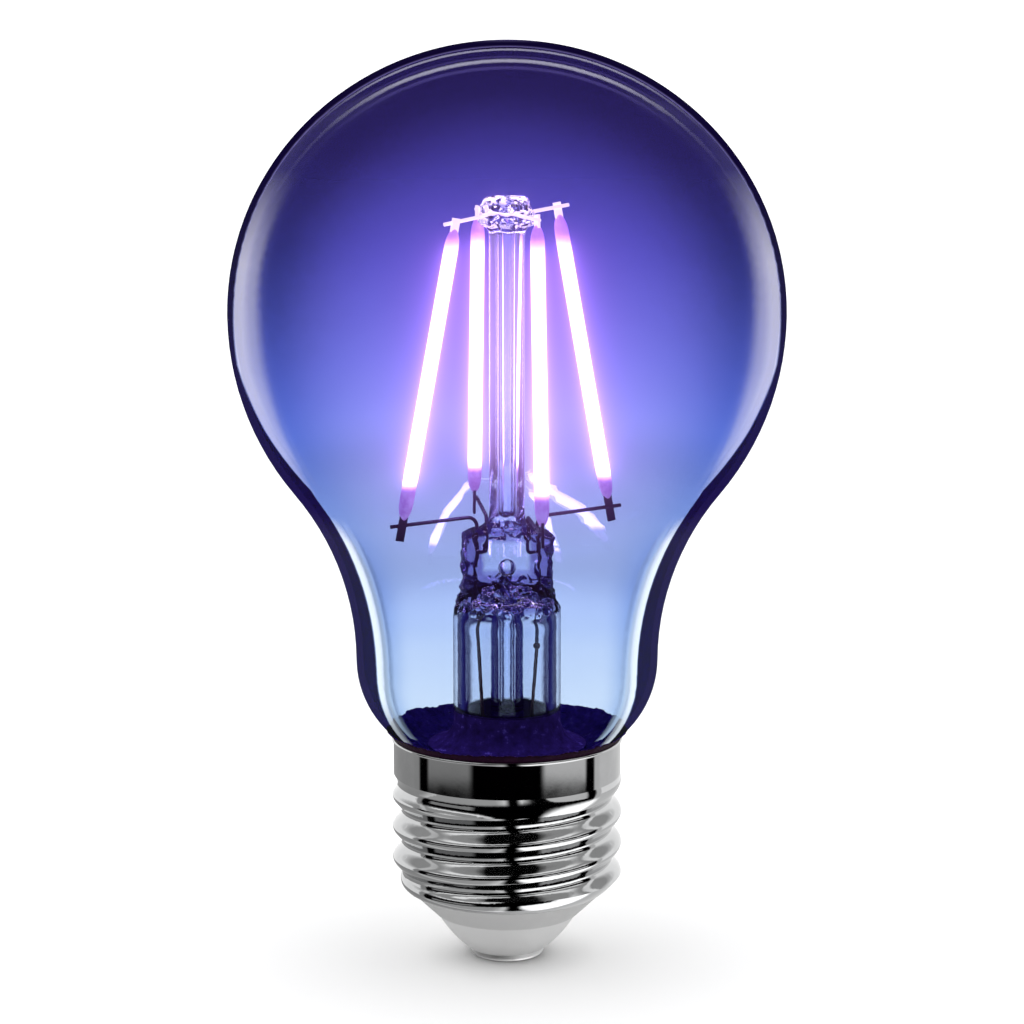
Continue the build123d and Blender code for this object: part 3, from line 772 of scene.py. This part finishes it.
def bowl_reach(height):
    """The bowl's outer radius at a height, in millimetres."""
    return BOWL_CENTRE + sqrt(BOWL_RADIUS**2 - (NECK - height) ** 2)


def crumbled(turn, radius, height):
    """A point on the cement, sunk into it by its crumbs."""
    point = Vector((radius * cos(turn), radius * sin(turn), height))
    sunk = noise.noise(point / CRUMB_SIZE) + 0.6 * noise.noise(point * FINE_CRUMBS / CRUMB_SIZE)
    return point + Vector((0, 0, -CRUMB_DEPTH * abs(sunk)))


def cement_section(turn):
    """The cement's outline at a turn: up the collar, over its creep, down the glass and in under the seal."""
    collar = cement_high.x / MM
    foot = cement_low.z / MM
    top = cement_high.z / MM
    around = Vector((cos(turn), sin(turn), 0)) * collar
    creep = 0.5 * noise.noise(around / CREEP_WAVE) + 0.3 * noise.noise(around / CREEP_RIPPLE)
    edge = top + CREEP_HEIGHT * (1 + 0.5 * creep)
    outline = [
        (CEMENT_INSIDE, foot),
        (collar - CEMENT_CLEARANCE, foot),
        (collar - CEMENT_CLEARANCE, top),
        (bowl_reach(edge) + LIP_WIDTH, edge - LIP_HEIGHT),
    ]
    points = [Vector((radius * cos(turn), radius * sin(turn), height)) for radius, height in outline]
    for step in range(GLASS_STEPS + 1):
        height = edge + (SEAL_OUTSIDE - edge) * step / GLASS_STEPS
        points.append(crumbled(turn, bowl_reach(height) + CEMENT_CLEARANCE, height))
    for step in range(1, SEAL_STEPS + 1):
        radius = SEAL_RADIUS + (CEMENT_INSIDE - SEAL_RADIUS) * step / SEAL_STEPS
        points.append(crumbled(turn, radius, SEAL_OUTSIDE))
    return points


def crumbly_cement(cement):
    """The cement as it shows through the glass: crumbs against the bowl, and an uneven creep up it."""
    sections = [cement_section(2 * pi * step / CEMENT_STEPS) for step in range(CEMENT_STEPS)]
    rings = [[section[index] for section in sections] for index in range(len(sections[0]))]
    piece = ring_surface("crumbly_cement", rings, True)
    piece.data.materials.append(cement)
    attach(piece, "root")
    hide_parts("cement_ring")


sides = ["left", "front", "right", "back"]
finish_nodes(tinted_glass(), ["globe"])
fused_stem(clear_glass())
crumbly_cement(basing_cement())
finish_nodes(phosphor_coat(), [f"filament_{side}" for side in sides])
finish_nodes(metal("end_tab", (0.08, 0.07, 0.13), 0.35, 900.0, 0.1), [f"lower_tab_{side}" for side in sides])
finish_nodes(
    metal("nickel_wire", (0.07, 0.06, 0.11), 0.3, 900.0, 0.1),
    [name for name in nodes if name.startswith(("lead_wire", "branch_wire"))],
)
finish_nodes(tinned_wire_painted_glow(), [name for name in nodes if name.startswith(("bridge_wire", "upper_tab"))])
finish_nodes(metal("plated_shell", (0.55, 0.555, 0.56), 0.05, 300.0, 0.02), ["screw_shell"])
finish_nodes(insulator_plastic(), ["insulator"])
finish_nodes(metal("contact_metal", (0.62, 0.62, 0.62), 0.5, 500.0, 0.1), ["centre_contact"])
finish_nodes(moulding("circuit_board", (0.03, 0.14, 0.06), 0.45, 600.0, 0.1), ["driver_board"])
finish_nodes(
    moulding("package_moulding", (0.02, 0.02, 0.022), 0.5, 900.0, 0.2),
    ["bridge_rectifier", "driver_chip"],
)
finish_nodes(moulding("capacitor_sleeve", (0.02, 0.025, 0.06), 0.3, 300.0, 0.05), ["smoothing_capacitor"])
finish_nodes(moulding("fuse_coat", (0.30, 0.42, 0.36), 0.4, 500.0, 0.2), ["fuse_resistor"])
finish_nodes(
    metal("copper_lead", (0.12, 0.06, 0.06), 0.4, 900.0, 0.1),
    ["shell_lead", "outer_lead_left", "outer_lead_right"],
)


def floor():
    """A plain pale floor under the lamp, which reaches some metres from it."""
    reach = 3.0
    mesh = bpy.data.meshes.new("floor")
    corners = [(-reach, -reach, 0), (reach, -reach, 0), (reach, reach, 0), (-reach, reach, 0)]
    mesh.from_pydata(corners, [], [(0, 1, 2, 3)])
    plane = bpy.data.objects.new("floor", mesh)
    bpy.context.scene.collection.objects.link(plane)
    made, s = material("floor")
    s.surface(s.node("ShaderNodeBsdfDiffuse", color=(FLOOR_SHADE, FLOOR_SHADE, FLOOR_SHADE, 1.0)))
    mesh.materials.append(made)
    plane.visible_glossy = False
    plane.visible_transmission = False


def mirrored_studio(s, across, away, up):
    """What shiny surfaces see: a dark room with soft panels, a bright table and thin lights overhead."""
    level_reach = s.math("SQRT", s.less(s.square(up)))
    heading = s.math("DIVIDE", away, s.math("MAXIMUM", level_reach, 0.01))
    aside = s.size(across)
    right = s.fade(across, -0.25, 0.25)
    gap = s.fade(s.size(s.math("SUBTRACT", across, 0.08)), 0.05, 0.16)

    # The cap mirrors the lower part of the back panels, and the globe the rest
    cap_level = s.math("MULTIPLY_ADD", right, 0.40, 0.38)
    glass_level = 1.15
    back_level = s.fade(up, -0.242, -0.225, cap_level, glass_level)
    back_panels = s.product(s.fade(heading, 0.27, 0.33), s.fade(up, 0.18, 0.42, 1.0, 0.0), back_level)

    front_level = s.math("MULTIPLY_ADD", right, 0.45, 0.32)
    front_panels = s.product(
        s.band(heading, -0.80, -0.06, 0.04), s.band(up, -0.258, 0.02, 0.002), front_level
    )

    wall_level = s.math("MULTIPLY_ADD", right, 0.35, 0.36)
    side_walls = s.product(s.band(heading, 0.16, 0.30, 0.03), s.band(up, -0.9, 0.7, 0.1), wall_level)
    upper_sides = s.product(s.fade(aside, 0.30, 0.45), s.band(up, 0.30, 0.90, 0.08), 0.42)

    table_level = s.math("MULTIPLY_ADD", right, 1.5, 0.5)
    table = s.product(s.fade(up, -0.50, -0.34, 1.0, 0.0), s.fade(away, 0.1, 0.4, 1.0, 0.0), gap, table_level)

    strips = s.sum(s.band(up, 0.34, 0.44, 0.03), s.band(up, 0.62, 0.74, 0.03))
    overhead = s.product(strips, s.fade(away, -0.2, 0.1, 0.9, 0.0), gap)

    lines = s.sum(s.band(away, 0.69, 0.73, 0.012), s.product(s.band(away, 0.845, 0.87, 0.008), 0.5))
    crown_lines = s.product(lines, s.fade(up, 0.25, 0.50), s.fade(aside, 0.2, 0.6, 1.0, 0.2), 7.0)
    return s.sum(back_panels, front_panels, side_walls, upper_sides, table, overhead, crown_lines)


def lens_field(s, across, away):
    """What is seen through the stem's glass, bent by it: four white walls with dark corners between them."""
    off_corner = s.math("MAXIMUM", s.size(across), s.size(away))
    corners = s.ramp(off_corner, [(0.72, (0.025, 0.022, 0.17)), (0.84, (0.02, 0.008, 0.09))])
    return s.mix(s.fade(off_corner, 0.90, 0.945), corners, (WHITE, WHITE, WHITE, 1.0))


def soft_light(s, across, away, up):
    """Soft light from overhead, which comes down further at the sides than in front."""
    beside = s.math("SUBTRACT", s.square(across), s.square(away))
    lift = s.math("MULTIPLY_ADD", beside, 0.2, s.math("MULTIPLY_ADD", away, 0.15, up))
    return s.grey(s.fade(lift, 0.2, 0.6, HORIZON_LIGHT, OVERHEAD_LIGHT))


def world():
    """White behind the lamp, soft light from above, a dark studio for mirrors and lit walls for lenses."""
    scene = bpy.context.scene
    scene.world = bpy.data.worlds.new("studio")
    scene.world.use_nodes = True
    s = Shader(scene.world.node_tree)
    direction = s.node("ShaderNodeTexCoord").outputs["Generated"]
    across, away, up = s.node("ShaderNodeSeparateXYZ", n0=direction).outputs
    path = s.node("ShaderNodeLightPath").outputs
    through_globe = s.fade(path["Transparent Depth"], 2.5, 3.5, 1.0, 0.2)
    not_on_floor = s.fade(path["Diffuse Depth"], 0.2, 0.8, 1.0, 0.0)
    mirrored = s.grey(s.product(mirrored_studio(s, across, away, up), through_globe, not_on_floor))
    light = s.mix(path["Is Glossy Ray"], soft_light(s, across, away, up), mirrored)
    light = s.mix(path["Is Transmission Ray"], light, lens_field(s, across, away))
    light = s.mix(path["Is Camera Ray"], light, (WHITE, WHITE, WHITE, 1.0))
    s.node("ShaderNodeOutputWorld", n0=s.node("ShaderNodeBackground", color=light, strength=1.0))


def camera():
    """The photo's camera, aimed at the lamp's axis."""
    data = bpy.data.cameras.new("camera")
    made = bpy.data.objects.new("camera", data)
    bpy.context.scene.collection.objects.link(made)
    aim = Vector((0, 0, AIM_HEIGHT))
    look = Vector((0, cos(CAMERA_PITCH), -sin(CAMERA_PITCH)))
    made.location = aim - look * CAMERA_DISTANCE
    made.rotation_euler = look.to_track_quat("-Z", "Y").to_euler()
    data.sensor_width = SENSOR
    data.lens = FOCAL_PIXELS / IMAGE_PIXELS * SENSOR
    data.shift_x = (IMAGE_PIXELS / 2 - AXIS_PIXEL) / IMAGE_PIXELS
    data.clip_start = 1 * MM
    bpy.context.scene.camera = made


# Strength, size and tint of the close and the wide bloom in the lens, and the light from which they start
BLOOMS = [
    (1.0, 0.07, (0.66, 0.46, 0.55, 1.0)),
    (0.5, 0.36, (0.62, 0.36, 0.42, 1.0)),
]
BLOOM_START = 2.0


def glow():
    """The blooms that the lit filaments leave in the lens."""
    scene = bpy.context.scene
    scene.use_nodes = True
    tree = scene.node_tree
    tree.nodes.clear()
    image = tree.nodes.new("CompositorNodeRLayers").outputs["Image"]
    for strength, size, tint in BLOOMS:
        bloom = tree.nodes.new("CompositorNodeGlare")
        bloom.glare_type = "BLOOM"
        bloom.inputs["Threshold"].default_value = BLOOM_START
        bloom.inputs["Strength"].default_value = strength
        bloom.inputs["Size"].default_value = size
        bloom.inputs["Tint"].default_value = tint
        tree.links.new(image, bloom.inputs["Image"])
        image = bloom.outputs["Image"]
    tree.links.new(image, tree.nodes.new("CompositorNodeComposite").inputs["Image"])


def picture():
    """How light is carried and shown."""
    scene = bpy.context.scene
    scene.view_settings.view_transform = "Standard"
    scene.view_settings.look = "None"
    scene.cycles.max_bounces = 32
    scene.cycles.transmission_bounces = 24
    scene.cycles.glossy_bounces = 8
    scene.cycles.diffuse_bounces = 4
    scene.cycles.transparent_max_bounces = 32


floor()
world()
camera()
glow()
picture()
